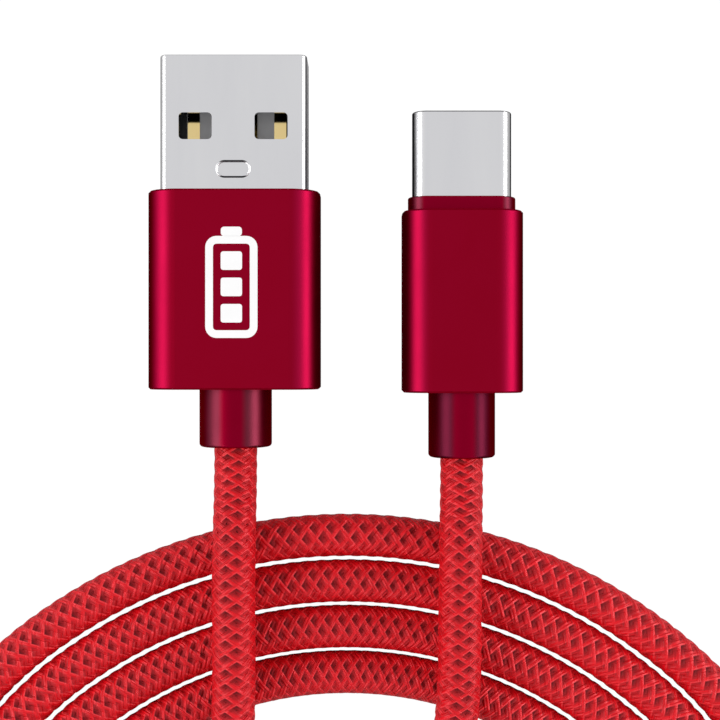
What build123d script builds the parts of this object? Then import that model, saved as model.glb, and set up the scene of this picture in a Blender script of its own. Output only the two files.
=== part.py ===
"""Braided charging cable, type-A plug to type-C plug, with its cord wound into a flat coil.

Millimetres, +Z up. Both plugs lie flat on the floor side by side and point along +Y. The origin is on the
floor at the centre of the box round the two plugs. The cord leaves each plug towards -Y, crosses over the
coil's front turns and goes down into its hole.
"""

from build123d import *
import math
import os

# ---------------------------------------------------------------- driving dimensions

plug_spacing = 18.8  # between the two plugs' centre lines
c_setback = 4.32  # how far the type-C plug's tip lies behind the type-A plug's
seat_gap = 0.02  # all round a piece that is moulded or pressed into its neighbour

cord_dia = 3.5
cord_bore_gap = 0.03  # between the cord's jacket and a collar's bore
core_dia = 2.6  # the foil-wrapped core inside the jacket
wire_dia = 0.8
wire_colours = ["red", "white", "green", "black"]

# type-A plug
a_shell_width = 12.0
a_shell_height = 4.5
a_shell_wall = 0.3
a_shell_corner = 0.62
a_shell_exposed = 11.1
a_shell_buried = 5.9
a_window_width = 2.7
a_window_length = 2.18
a_window_corner = 0.35
a_window_offset = 3.09  # a window's centre from the plug's centre line
a_window_from_tip = 5.83
a_dimple_width = 2.7
a_dimple_length = 1.3
a_dimple_depth = 0.14
a_dimple_from_tip = 9.34
a_seam_width = 0.08
a_seam_depth = 0.12
a_tongue_height = 1.85
a_tongue_setback = 0.45
a_tongue_chamfer = 0.4
a_cavity_depth = 8.9
a_insulator_tail = 1.5  # how far short of the shell's rear end the insulator stops
a_contact_width = 1.0
a_contact_thickness = 0.25
a_contact_proud = 0.05
a_contact_tail = 1.3
a_contact_hook = 0.55
a_pad_setback = 0.2  # a solder joint's front, behind the insulator
a_contacts = {  # name: place across the tongue, setback from the tip
    "vbus": (-3.5, 1.9),
    "data_minus": (-1.0, 2.9),
    "data_plus": (1.3, 2.9),
    "ground": (3.7, 1.9),
}
a_sleeve_width = 14.1
a_sleeve_height = 7.2
a_sleeve_corner = 2.5
a_sleeve_wall = 0.6
a_sleeve_length = 16.2
a_frame_thickness = 1.4
a_frame_recess = 0.2
a_cover_length = 4.6
a_collar_dia = 6.0
a_collar_length = 4.77

# type-C plug
c_shell_width = 8.25
c_shell_height = 2.4
c_shell_wall = 0.22
c_shell_exposed = 7.08
c_shell_buried = 5.2  # behind the nose ring
c_insulator_setback = 0.25
c_insulator_length = 9.2
c_slot_width = 6.85
c_slot_height = 0.85
c_slot_depth = 6.2
c_pin_pitch = 0.5
c_pin_width = 0.26
c_pin_thickness = 0.15
c_pin_proud = 0.05
c_pin_setback = 1.3
c_pin_tail = 1.2
c_pin_places = 12  # in each row
c_pins_upper = [1, 4, 5, 6, 7, 9, 12]  # the places that a plain charging cable fills
c_pins_lower = [1, 4, 5, 9, 12]
c_latch_thickness = 0.2
c_latch_width = 0.26
c_latch_length = 7.4
c_latch_hook = 0.22
c_spring_width = 4.4
c_spring_length = 2.8
c_spring_thickness = 0.1
c_board_width = 7.2
c_board_length = 5.4
c_resistor = (1.0, 0.5, 0.35)
c_resistor_place = (2.2, 2.4)  # across the board, and behind its front edge
c_nose_width = 8.95
c_nose_height = 3.3
c_nose_length = 1.25
c_sleeve_width = 9.95
c_sleeve_height = 6.8
c_sleeve_corner = 2.4
c_sleeve_wall = 0.5
c_sleeve_length = 14.93
c_cover_height = 3.6
c_cover_length = 4.6
c_collar_dia = 5.55
c_collar_length = 5.38

# pieces that both plugs have
edge_break = 0.15
flange_thickness = 1.3  # a collar's foot inside its sleeve
crimp_wall = 0.3
crimp_length = 2.0
crimp_gap = 0.05
core_gap = 0.05  # half the space between the wires in the core
solder_length = 0.7

# coil: turns side by side on the floor, numbered from the outside
turns = 4
turn_pitch = 3.86
web_height = 2.4  # the coil's solid is filled this high between its turns
coil_x = 0.84
coil_y = -66.39
coil_radius = 43.17  # the outer turn's front arc
coil_left_angle = 41.5  # where that arc ends, from +Y
coil_right_angle = 45.5
coil_corner = 22.5  # the outer turn's radius round the four corners
coil_bottom = -84.3  # the outer turn's lowest line

# ---------------------------------------------------------------- places that follow

overall_width = plug_spacing + a_sleeve_width / 2 + c_sleeve_width / 2
c_length = c_shell_exposed + c_nose_length + c_sleeve_length + c_collar_length
overall_length = c_setback + c_length

a_x = (a_sleeve_width - overall_width) / 2
a_z = a_sleeve_height / 2
a_tip = overall_length / 2
a_front = a_tip - a_shell_exposed
a_shell_rear = a_front - a_shell_buried
a_rear = a_front - a_sleeve_length
a_exit = a_rear - a_collar_length

c_x = (overall_width - c_sleeve_width) / 2
c_z = c_sleeve_height / 2
c_tip = a_tip - c_setback
c_nose_front = c_tip - c_shell_exposed
c_front = c_nose_front - c_nose_length
c_shell_rear = c_front - c_shell_buried
c_rear = c_front - c_sleeve_length
c_exit = c_rear - c_collar_length

cord_radius = cord_dia / 2
crimp_dia = cord_dia + 2 * (crimp_gap + crimp_wall)

# The cord's free runs, from each plug, as points chosen along its route.
tail_height = 5.42  # the cord's own line where it lies on the coil
last_run = 5.6  # beside the coil, up to its turn's end
landing_run = 7.9  # from the coil's top down to the floor beside it
tail_a_route = [
    (a_x, a_exit, a_z),
    (a_x, -18.7, a_z),
    (-8.33, -24.6, 5.68),
    (-8.32, -38.6, tail_height),
    (-9.2, -47.6, cord_radius),
    (-9.7, -57.2, cord_radius),
    (-9.6, -66.2, tail_height),
    (-11.2, -74.0, tail_height),
    (-18.4, -79.9, tail_height),
    (-27.9, -79.2, tail_height),
    (-34.6, -72.4, tail_height),
]
tail_c_route = [
    (c_x, c_exit, c_z),
    (c_x, -19.2, c_z),
    (10.12, -25.2, 6.0),
    (10.1, -38.6, tail_height),
    (8.0, -47.6, cord_radius),
]

# ---------------------------------------------------------------- shared shapes


def across(x, y, z):
    """A plane that faces -Y, with its own x along +X and its own y along +Z."""
    return Plane(origin=(x, y, z), x_dir=(1, 0, 0), z_dir=(0, -1, 0))


def bar(x, z, outline, front, rear):
    """A prism of one outline along Y, from its front end back to its rear end."""
    return extrude(across(x, front, z) * outline, front - rear)


def block(x, y, z, width, length, height):
    """A box given by its centre."""
    return Pos(x, y, z) * Box(width, length, height)


def rounded(width, height, corner):
    return RectangleRounded(width, height, corner)


def stadium(width, height):
    return SlotOverall(width, height)


def end_edges(solid, y):
    """The edges that lie in the plane at one y."""
    return solid.edges().filter_by_position(Axis.Y, y - 0.001, y + 0.001)


def tube(route, diameter):
    """A round tube along straight runs joined by tangent arcs, and the arcs' radii."""
    points = [Vector(*p) for p in route]
    runs = [b - a for a, b in zip(points, points[1:])]
    radii = [
        0.45 * min(before.length, after.length) / math.tan(math.radians(before.get_angle(after)) / 2)
        for before, after in zip(runs, runs[1:])
    ]
    path = FilletPolyline(*route, radius=radii)
    start = Plane(origin=points[0], z_dir=runs[0])
    solid = sweep(start * Circle(diameter / 2), path=path)
    return solid, radii, path.length


def flexible_tube(name, route):
    """A free run of the cord. Its volume is compared with its section times its length."""
    solid, radii, length = tube(route, cord_dia)
    share = solid.volume / (math.pi * cord_radius**2 * length)
    print(f"{name}: length {length:.1f}, volume share {share:.4f}, radii", [round(r, 1) for r in radii])
    return solid


def sleeve(x, z, width, height, corner, wall, front, rear):
    """The housing: a drawn tube of rounded rectangular section, its end edges broken."""
    outer = bar(x, z, rounded(width, height, corner), front, rear)
    outer = chamfer(end_edges(outer, front) + end_edges(outer, rear), edge_break)
    return outer - bar(x, z, rounded(width - 2 * wall, height - 2 * wall, corner - wall), front, rear)


def lining(width, height, corner, wall):
    """The outline of what fills a sleeve."""
    inset = 2 * (wall + seat_gap)
    return rounded(width - inset, height - inset, corner - wall - seat_gap)


def collar(x, z, outline, diameter, rear, exit_y):
    """The strain relief: a foot that fills the sleeve's rear end, and a round neck on the cord."""
    foot = bar(x, z, outline, rear + flange_thickness, rear)
    neck = bar(x, z, Circle(diameter / 2), rear, exit_y)
    neck = fillet(end_edges(neck, exit_y), 2 * edge_break)
    bore = Circle(cord_radius + cord_bore_gap)
    return foot + neck - bar(x, z, bore, rear + flange_thickness, exit_y)


def cable_end(x, z, jacket_front, exit_y):
    """The cord's end inside its plug: the jacket up to the crimp, then the stripped core."""
    jacket = bar(x, z, Circle(cord_radius), jacket_front, exit_y)
    return jacket + bar(x, z, Circle(core_dia / 2), jacket_front + crimp_length / 2, jacket_front)


def shield_cover(x, z, width, height, corner, wall, front, rear):
    """The folded metal cover over the solder joints, with its crimp on the cord's jacket."""
    box = bar(x, z, rounded(width, height, corner), front, rear)
    box -= bar(x, z, rounded(width - 2 * wall, height - 2 * wall, corner - wall), front, rear + wall)
    crimp = bar(x, z, Circle(crimp_dia / 2), rear, rear - crimp_length)
    return box + crimp - bar(x, z, Circle(crimp_dia / 2 - crimp_wall), rear + wall, rear - crimp_length)


def cover_envelope(x, z, width, height, corner, front, rear):
    """What the inner mould leaves free for a shield cover and the cord behind it."""
    room = 2 * seat_gap
    body = bar(x, z, rounded(width + room, height + room, corner + seat_gap), front, rear - seat_gap)
    neck = bar(x, z, Circle(crimp_dia / 2 + seat_gap), rear, rear - crimp_length - seat_gap)
    return body + neck


def solder_nugget(x, front, z, up):
    """Half a round bead on a pad, upright or hanging."""
    bead = bar(x, z, Circle(wire_dia / 2), front, front - solder_length)
    middle = front - solder_length / 2
    half = block(x, middle, z + up * wire_dia / 2, 2 * wire_dia, 2 * solder_length, wire_dia)
    return bead & half


def wire(start, end, run_in):
    """An insulated wire from a solder joint to its place in the core."""
    (x, y, z), (end_x, end_y, end_z) = start, end
    route = [start, (x, y - run_in, z), (end_x, end_y + run_in, end_z), end]
    return tube(route, wire_dia)[0]


def core_places(x, y, z):
    """Where the four wires enter the core, in a square: two above, two below."""
    step = wire_dia / 2 + core_gap
    return [(x + sx * step, y, z + sz * step) for sz in (1, -1) for sx in (-1, 1)]


# ---------------------------------------------------------------- type-A plug


def a_shell():
    """The folded steel shell with its windows, dimple and dovetailed seam."""
    outer = bar(a_x, a_z, rounded(a_shell_width, a_shell_height, a_shell_corner), a_tip, a_shell_rear)
    outer = fillet(end_edges(outer, a_tip), a_shell_wall * 0.6)
    inside = rounded(
        a_shell_width - 2 * a_shell_wall, a_shell_height - 2 * a_shell_wall, a_shell_corner - a_shell_wall
    )
    shell = outer - bar(a_x, a_z, inside, a_tip, a_shell_rear)
    window = rounded(a_window_width, a_window_length, a_window_corner)
    for side in (-1, 1):
        place = Pos(a_x + side * a_window_offset, a_tip - a_window_from_tip, 0)
        shell -= place * extrude(window, a_sleeve_height)
    top = a_z + a_shell_height / 2
    dimple = stadium(a_dimple_width, a_dimple_length)
    place = Pos(a_x, a_tip - a_dimple_from_tip, top - a_dimple_depth)
    shell -= place * extrude(dimple, a_shell_height)
    return shell - a_seam()


def a_seam():
    """The joint of the folded sheet, along the middle of the lower face, with one dovetail."""
    bottom = a_z - a_shell_height / 2
    depth = 2 * a_seam_depth
    middle = a_tip - a_shell_exposed / 2
    half, reach, flare = a_window_length / 2, a_window_length / 2, a_window_corner
    front, rear = middle + half, middle - half
    straight = [
        block(a_x, (a_tip + front) / 2, bottom, a_seam_width, a_tip - front, depth),
        block(a_x, (rear + a_shell_rear) / 2, bottom, a_seam_width, rear - a_shell_rear, depth),
    ]
    tail = [(0, half), (reach, half + flare), (reach, -half - flare), (0, -half)]
    outline = make_face(Polyline(*tail, close=True))
    ring = outline - offset(outline, -a_seam_width, kind=Kind.INTERSECTION)
    ring = Pos(a_x - a_seam_width / 2, middle, bottom - depth / 2) * extrude(ring, depth)
    return straight[0] + straight[1] + ring


def a_contact_strip(across_x, setback):
    """One flat contact: a strip along the tongue, a hooked nose, and a tail to solder to."""
    top = a_floor() + a_tongue_height + a_contact_proud
    front = a_tip - setback
    rear = a_insulator_rear() - a_contact_tail
    x = a_x + across_x
    thickness = a_contact_thickness
    strip = block(x, (front + rear) / 2, top - thickness / 2, a_contact_width, front - rear, thickness)
    hook = block(
        x, front - thickness / 2, top - a_contact_hook / 2, a_contact_width, thickness, a_contact_hook
    )
    strip += hook
    nose = strip.edges().filter_by(Axis.X).sort_by(Axis.Y)[-2:].sort_by(Axis.Z)[-1]
    return fillet(nose, thickness * 0.8)


def a_floor():
    """The height of the insulator's lower face, inside the shell."""
    return a_z - a_shell_height / 2 + a_shell_wall + seat_gap


def a_insulator_rear():
    return a_shell_rear + a_insulator_tail


def a_insulator(contacts):
    """The moulded insulator: the tongue under the cavity, and the block behind it."""
    width = a_shell_width - 2 * (a_shell_wall + seat_gap)
    height = a_shell_height - 2 * (a_shell_wall + seat_gap)
    body = bar(a_x, a_z, rounded(width, height, a_shell_corner - a_shell_wall), a_tip - a_tongue_setback,
               a_insulator_rear())
    cavity_z = a_floor() + a_tongue_height + height / 2
    body -= block(a_x, a_tip - a_cavity_depth / 2, cavity_z, 2 * width, a_cavity_depth, height)
    front = body.edges().filter_by(Axis.X).filter_by_position(Axis.Y, a_tip - a_tongue_setback - 0.01, a_tip)
    body = chamfer(front.sort_by(Axis.Z)[-1], a_tongue_chamfer)
    for contact in contacts:
        body -= contact
    return body


def a_front_frame(outline):
    """The moulded frame that closes the sleeve's front round the shell."""
    front = a_front - a_frame_recess
    plate = bar(a_x, a_z, outline, front, front - a_frame_thickness)
    hole = rounded(a_shell_width + 2 * seat_gap, a_shell_height + 2 * seat_gap, a_shell_corner + seat_gap)
    return plate - bar(a_x, a_z, hole, front, front - a_frame_thickness)


def a_inner_mould(outline, cover_rear):
    """The moulding between the metal parts and the sleeve."""
    front = a_front - a_frame_recess - a_frame_thickness - seat_gap
    rear = a_rear + flange_thickness + seat_gap
    mould = bar(a_x, a_z, outline, front, rear)
    mould -= cover_envelope(a_x, a_z, a_shell_width, a_shell_height, a_shell_corner, front, cover_rear)
    return mould - bar(a_x, a_z, Circle(cord_radius + cord_bore_gap), cover_rear, rear)


def type_a_plug():
    """Every piece of the type-A plug by name."""
    pieces = {}
    pieces["a_shell"] = a_shell()
    contacts = {name: a_contact_strip(*place) for name, place in a_contacts.items()}
    pieces["a_insulator"] = a_insulator(contacts.values())
    pieces |= {f"a_contact_{name}": contact for name, contact in contacts.items()}

    pad_top = a_floor() + a_tongue_height + a_contact_proud
    pad_front = a_insulator_rear() - a_pad_setback
    joints = [solder_nugget(a_x + x, pad_front, pad_top, 1) for x, _ in a_contacts.values()]
    pieces["a_solder_joints"] = Compound(joints)

    cover_front = a_shell_rear - seat_gap
    cover_rear = cover_front - a_cover_length
    core_front = cover_rear + crimp_length / 2
    wire_front = pad_front - solder_length - seat_gap
    outer_left, outer_right, inner_left, inner_right = core_places(a_x, core_front, a_z)
    ends = [outer_left, inner_left, inner_right, outer_right]
    for colour, (x, _), end in zip(wire_colours, a_contacts.values(), ends, strict=True):
        start = (a_x + x, wire_front, pad_top + wire_dia / 2 + seat_gap)
        pieces[f"a_wire_{colour}"] = wire(start, end, wire_dia)

    pieces["a_shield_cover"] = shield_cover(
        a_x, a_z, a_shell_width, a_shell_height, a_shell_corner, a_shell_wall, cover_front, cover_rear
    )
    pieces["a_cable_end"] = cable_end(a_x, a_z, cover_rear, a_exit)
    outline = lining(a_sleeve_width, a_sleeve_height, a_sleeve_corner, a_sleeve_wall)
    pieces["a_front_frame"] = a_front_frame(outline)
    pieces["a_inner_mould"] = a_inner_mould(outline, cover_rear)
    pieces["a_sleeve"] = sleeve(
        a_x, a_z, a_sleeve_width, a_sleeve_height, a_sleeve_corner, a_sleeve_wall, a_front, a_rear
    )
    pieces["a_collar"] = collar(a_x, a_z, outline, a_collar_dia, a_rear, a_exit)
    return pieces


# ---------------------------------------------------------------- type-C plug


def c_shell():
    """The seamless oval shell, its front edge rounded."""
    outer = bar(c_x, c_z, stadium(c_shell_width, c_shell_height), c_tip, c_shell_rear)
    outer = fillet(end_edges(outer, c_tip), c_shell_wall * 0.7)
    inside = stadium(c_shell_width - 2 * c_shell_wall, c_shell_height - 2 * c_shell_wall)
    return outer - bar(c_x, c_z, inside, c_tip, c_shell_rear)


def c_pin_row(numbers, up):
    """One row of contacts, each a flat strip that shows in the slot and ends on the board."""
    front = c_tip - c_pin_setback
    rear = c_tip - c_insulator_setback - c_insulator_length - c_pin_tail
    height = c_slot_height / 2 - c_pin_proud + c_pin_thickness / 2
    middle = (front + rear) / 2
    first = c_x - (c_pin_places - 1) / 2 * c_pin_pitch
    places = [first + (n - 1) * c_pin_pitch for n in numbers]
    return [block(x, middle, c_z + up * height, c_pin_width, front - rear, c_pin_thickness) for x in places]


def c_latch():
    """The latch spring: two side arms with hooks into the slot, joined behind it."""
    front = c_tip - 2 * c_insulator_setback - c_latch_width
    rear = front - c_latch_length
    arm_x = c_slot_width / 2 + c_latch_width / 2
    latch = block(c_x, rear + c_latch_width, c_z, 2 * arm_x, 2 * c_latch_width, c_latch_thickness)
    for side in (-1, 1):
        arm = block(
            c_x + side * arm_x, (front + rear) / 2, c_z, c_latch_width, front - rear, c_latch_thickness
        )
        hook = block(
            c_x + side * (c_slot_width - c_latch_hook) / 2, front - c_latch_width, c_z, c_latch_hook,
            2 * c_latch_width, c_latch_thickness
        )
        latch += arm + hook
    return latch


def c_ground_springs():
    """The two thin plates that touch a socket's ground, in the insulator's upper and lower face."""
    middle = c_tip - 2 * c_insulator_setback - c_spring_length / 2
    height = c_shell_height / 2 - c_shell_wall - seat_gap - c_spring_thickness / 2
    return [
        block(c_x, middle, c_z + up * height, c_spring_width, c_spring_length, c_spring_thickness)
        for up in (1, -1)
    ]


def c_insulator(inserts):
    """The moulded insulator with the slot that a socket's tongue enters."""
    front = c_tip - c_insulator_setback
    inset = 2 * (c_shell_wall + seat_gap)
    outline = stadium(c_shell_width - inset, c_shell_height - inset)
    body = bar(c_x, c_z, outline, front, front - c_insulator_length)
    slot = rounded(c_slot_width, c_slot_height, c_slot_height / 4)
    body -= bar(c_x, c_z, slot, front, front - c_slot_depth)
    for piece in inserts:
        body -= piece
    return body


def c_inner_mould(outline, cover_rear):
    """The moulding inside the sleeve, with the nose ring round the shell."""
    rear = c_rear + flange_thickness + seat_gap
    mould = bar(c_x, c_z, outline, c_front - edge_break, rear)
    nose = bar(c_x, c_z, stadium(c_nose_width, c_nose_height), c_nose_front, c_front - edge_break)
    mould += fillet(end_edges(nose, c_nose_front), edge_break)
    hole = stadium(c_shell_width + 2 * seat_gap, c_shell_height + 2 * seat_gap)
    mould -= bar(c_x, c_z, hole, c_nose_front, c_shell_rear)
    mould -= cover_envelope(
        c_x, c_z, c_shell_width, c_cover_height, c_cover_height / 4, c_shell_rear, cover_rear
    )
    return mould - bar(c_x, c_z, Circle(cord_radius + cord_bore_gap), cover_rear, rear)


def type_c_plug():
    """Every piece of the type-C plug by name."""
    pieces = {}
    pieces["c_shell"] = c_shell()
    upper = c_pin_row(c_pins_upper, 1)
    lower = c_pin_row(c_pins_lower, -1)
    latch = c_latch()
    springs = c_ground_springs()
    pieces["c_insulator"] = c_insulator([*upper, *lower, latch, *springs])
    pieces["c_contacts_upper"] = Compound(upper)
    pieces["c_contacts_lower"] = Compound(lower)
    pieces["c_latch"] = latch
    pieces["c_ground_springs"] = Compound(springs)

    board_front = c_tip - c_insulator_setback - c_insulator_length - seat_gap
    board_rear = board_front - c_board_length
    board_thickness = c_slot_height - 2 * c_pin_proud
    pieces["c_board"] = block(
        c_x, (board_front + board_rear) / 2, c_z, c_board_width, c_board_length, board_thickness
    )
    place_x, place_y = c_resistor_place
    pieces["c_resistor"] = block(
        c_x + place_x, board_front - place_y, c_z + (board_thickness + c_resistor[2]) / 2, *c_resistor
    )

    pad_front = board_rear + solder_length
    pad_x = c_board_width / 4
    pads = [(side * pad_x, up) for up in (1, -1) for side in (-1, 1)]
    joints = [solder_nugget(c_x + x, pad_front, c_z + up * board_thickness / 2, up) for x, up in pads]
    pieces["c_solder_joints"] = Compound(joints)

    cover_front = c_shell_rear - seat_gap
    cover_rear = cover_front - c_cover_length
    core_front = cover_rear + crimp_length / 2
    ends = core_places(c_x, core_front, c_z)
    for colour, (x, up), end in zip(wire_colours, pads, ends, strict=True):
        start = (c_x + x, board_rear - seat_gap, c_z + up * (board_thickness + wire_dia) / 2)
        pieces[f"c_wire_{colour}"] = wire(start, end, wire_dia / 2)

    pieces["c_shield_cover"] = shield_cover(
        c_x, c_z, c_shell_width, c_cover_height, c_cover_height / 4, c_shell_wall, cover_front, cover_rear
    )
    pieces["c_cable_end"] = cable_end(c_x, c_z, cover_rear, c_exit)
    outline = lining(c_sleeve_width, c_sleeve_height, c_sleeve_corner, c_sleeve_wall)
    pieces["c_inner_mould"] = c_inner_mould(outline, cover_rear)
    pieces["c_sleeve"] = sleeve(
        c_x, c_z, c_sleeve_width, c_sleeve_height, c_sleeve_corner, c_sleeve_wall, c_front, c_rear
    )
    pieces["c_collar"] = collar(c_x, c_z, outline, c_collar_dia, c_rear, c_exit)
    return pieces


# ---------------------------------------------------------------- cord


def band(count, first=0):
    """The section of turns side by side: x is outwards from the outer turn's line, y is up."""
    lines = [Pos(-k * turn_pitch, cord_radius) for k in range(first, count)]
    section = Sketch() + [line * Circle(cord_radius) for line in lines]
    if count - first > 1:
        middle = -(count - 1 + first) / 2 * turn_pitch
        section += Pos(middle, cord_radius) * Rectangle((count - 1 - first) * turn_pitch, web_height)
    return section


def heading_plane(x, y, heading):
    """Faces along the heading, its own x to the left of it and its own y up."""
    way = math.radians(heading)
    left = (-math.sin(way), math.cos(way), 0)
    return Plane(origin=(x, y, 0), x_dir=left, z_dir=(math.cos(way), math.sin(way), 0))


def bend(section, place, radius, angle, side=1):
    """Turns the section right (side 1) or left (side -1). Returns the solid and the new place."""
    x, y, heading = place
    way = math.radians(heading)
    centre_x = x + side * radius * math.sin(way)
    centre_y = y - side * radius * math.cos(way)
    axis = Axis((centre_x, centre_y, 0), (0, 0, -side))
    solid = revolve(heading_plane(*place) * section, axis, angle)
    heading -= side * angle
    way = math.radians(heading)
    x = centre_x - side * radius * math.sin(way)
    y = centre_y + side * radius * math.cos(way)
    return solid, (x, y, heading)


def ahead(section, place, length):
    """Carries the section straight on. Returns the solid and the new place."""
    x, y, heading = place
    solid = extrude(heading_plane(*place) * section, length)
    way = math.radians(heading)
    return solid, (x + length * math.cos(way), y + length * math.sin(way), heading)


def coil_corners():
    """The centres of the two front corners, from the front arc's ends."""
    inset = coil_radius - coil_corner
    left, right = math.radians(coil_left_angle), math.radians(coil_right_angle)
    return (
        (coil_x - inset * math.sin(left), coil_y + inset * math.cos(left)),
        (coil_x + inset * math.sin(right), coil_y + inset * math.cos(right)),
    )


def cord_coil():
    """The coil's turns as one solid. The outer turn starts at its left side, and the inner turn ends in the
    hole, after its last half circle. Between them the turns step inwards by one pitch along the rear."""
    (left_x, left_y), (right_x, right_y) = coil_corners()
    rear_y = coil_bottom + coil_corner
    full, fewer, inner = band(turns), band(turns - 1), band(turns, turns - 1)
    place = (left_x - coil_corner, left_y, 90)
    solids = []
    for radius, angle in (
        (coil_corner, 90 - coil_left_angle),
        (coil_radius, coil_left_angle + coil_right_angle),
        (coil_corner, 90 - coil_right_angle),
    ):
        solid, place = bend(full, place, radius, angle)
        solids.append(solid)
    solid, place = ahead(full, place, right_y - rear_y)
    solids.append(solid)
    solid, place = bend(full, place, coil_corner, 90)
    solids.append(solid)
    solids.append(bend(inner, place, coil_corner, 90)[0])

    step_length = right_x - left_x
    step_angle = 2 * math.degrees(math.atan(turn_pitch / step_length))
    step_radius = step_length / 2 / math.sin(math.radians(step_angle))
    for side in (1, -1):
        solid, place = bend(fewer, place, step_radius, step_angle, side)
        solids.append(solid)
    solid, place = bend(fewer, place, coil_corner - turn_pitch, 90)
    solids.append(solid)
    solid, place = ahead(fewer, place, left_y - rear_y)
    solids.append(solid)
    return solids[0].fuse(*solids[1:])


def coil_ends():
    """Where the outer turn starts and the inner turn ends, on the turns' own lines."""
    (left_x, left_y), (right_x, _) = coil_corners()
    inner_radius = coil_corner - (turns - 1) * turn_pitch
    outer_start = (left_x - coil_corner, left_y, cord_radius)
    inner_end = (right_x - inner_radius, coil_bottom + coil_corner, cord_radius)
    return outer_start, inner_end


def cord():
    """The coil and the two free runs that join it to the plugs."""
    outer_start, inner_end = coil_ends()
    x, y, z = outer_start
    landing = (x, y - last_run - landing_run, tail_height)
    tail_a = tail_a_route + [landing, (x, y - last_run, z), outer_start]
    x, y, z = inner_end
    tail_c = tail_c_route + [(x, y + last_run, z), inner_end]
    return {
        "cord_tail_a": flexible_tube("cord_tail_a", tail_a),
        "cord_tail_c": flexible_tube("cord_tail_c", tail_c),
        "cord_coil": cord_coil(),
    }


os.makedirs("parts", exist_ok=True)
for node, shape in {**type_a_plug(), **type_c_plug(), **cord()}.items():
    export_step(shape, f"parts/{node}.step")
print("coil ends", coil_ends())
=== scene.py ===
import math

import bpy
import numpy as np
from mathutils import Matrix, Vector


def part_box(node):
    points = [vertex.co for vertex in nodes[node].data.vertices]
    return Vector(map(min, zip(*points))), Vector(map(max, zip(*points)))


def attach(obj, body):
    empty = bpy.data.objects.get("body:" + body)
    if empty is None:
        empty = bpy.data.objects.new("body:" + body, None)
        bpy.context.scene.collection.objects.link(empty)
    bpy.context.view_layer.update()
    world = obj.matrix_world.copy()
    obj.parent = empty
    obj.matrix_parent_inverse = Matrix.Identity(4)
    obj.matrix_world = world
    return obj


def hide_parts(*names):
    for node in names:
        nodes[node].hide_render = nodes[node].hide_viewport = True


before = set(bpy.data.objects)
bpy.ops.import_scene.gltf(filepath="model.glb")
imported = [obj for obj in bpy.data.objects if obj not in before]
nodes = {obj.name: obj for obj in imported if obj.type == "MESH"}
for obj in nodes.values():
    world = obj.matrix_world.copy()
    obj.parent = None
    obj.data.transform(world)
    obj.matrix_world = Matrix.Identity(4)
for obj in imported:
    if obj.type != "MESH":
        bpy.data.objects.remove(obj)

scene = bpy.context.scene
millimetre = 0.001
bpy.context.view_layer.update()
print("frame loaded:", len(nodes), "CAD nodes")


def mm(*values):
    return tuple(value * millimetre for value in values)


cameraSet = {"place": mm(1.97, -8.42, 107.6), "lens": 62.5, "sensor": 36.0, "nearest": 0.005, "farthest": 20}
lampSet = {
    # name: angle from straight up towards +X, distance, width across, length along Y, radiance, colour
    "leftBox": (-57, 0.40, 0.21, 0.60, 2.7, (1.0, 0.985, 0.97)),
    "rightBox": (68, 0.40, 0.15, 0.60, 3.6, (1.0, 0.99, 0.98)),
}
worldSet = {"sky": (0.68, 0.68, 0.69), "strength": 1.0}
# white where it is seen, mid-grey paper for what it lights and mirrors
floorSet = {"size": 3.0, "colour": (0.40, 0.40, 0.40), "glow": 0.97, "glowStrength": 1.05}


def mathNode(tree, operation, first, second=None, third=None, clamp=False):
    # a sum of plain numbers and other nodes' outputs
    node = tree.nodes.new("ShaderNodeMath")
    node.operation = operation
    node.use_clamp = clamp
    for socket, value in zip(node.inputs, (first, second, third)):
        if isinstance(value, (int, float)):
            socket.default_value = value
        elif value is not None:
            tree.links.new(value, socket)
    return node.outputs[0]


def rangeOf(tree, value, span=(0.0, 1.0), onto=(0.0, 1.0)):
    change = tree.nodes.new("ShaderNodeMapRange")
    tree.links.new(value, change.inputs["Value"])
    change.inputs["From Min"].default_value, change.inputs["From Max"].default_value = span
    change.inputs["To Min"].default_value, change.inputs["To Max"].default_value = onto
    return change.outputs["Result"]


def mixOf(tree, share, first, second):
    # a mix of two colours, each a plain one or another node's output
    mix = tree.nodes.new("ShaderNodeMix")
    mix.data_type = "RGBA"
    tree.links.new(share, mix.inputs["Factor"])
    for socket, value in ((mix.inputs[6], first), (mix.inputs[7], second)):
        if isinstance(value, tuple):
            socket.default_value = (*value, 1)
        else:
            tree.links.new(value, socket)
    return mix.outputs[2]


def groupNode(tree, group, values):
    node = tree.nodes.new("ShaderNodeGroup")
    node.node_tree = group
    for label, value in values.items():
        node.inputs[label].default_value = value
    return node


def addCamera():
    data = bpy.data.cameras.new("camera")
    data.lens = cameraSet["lens"]
    data.sensor_width = cameraSet["sensor"]
    data.clip_start = cameraSet["nearest"]
    data.clip_end = cameraSet["farthest"]
    camera = bpy.data.objects.new("camera", data)
    camera.location = cameraSet["place"]
    scene.collection.objects.link(camera)
    scene.camera = camera


def addLamp(name, angle, distance, width, length, radiance, colour):
    data = bpy.data.lights.new(name, "AREA")
    data.shape = "RECTANGLE"
    data.size = width
    data.size_y = length
    data.color = colour
    data.energy = radiance * math.pi * width * length
    lamp = bpy.data.objects.new(name, data)
    tilt = math.radians(angle)
    lamp.location = (math.sin(tilt) * distance, cameraSet["place"][1], math.cos(tilt) * distance)
    lamp.rotation_euler = (0, tilt, 0)
    scene.collection.objects.link(lamp)


def addWorld():
    world = bpy.data.worlds.new("studio")
    scene.world = world
    world.use_nodes = True
    background = world.node_tree.nodes["Background"]
    background.inputs["Color"].default_value = (*worldSet["sky"], 1)
    background.inputs["Strength"].default_value = worldSet["strength"]


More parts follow.
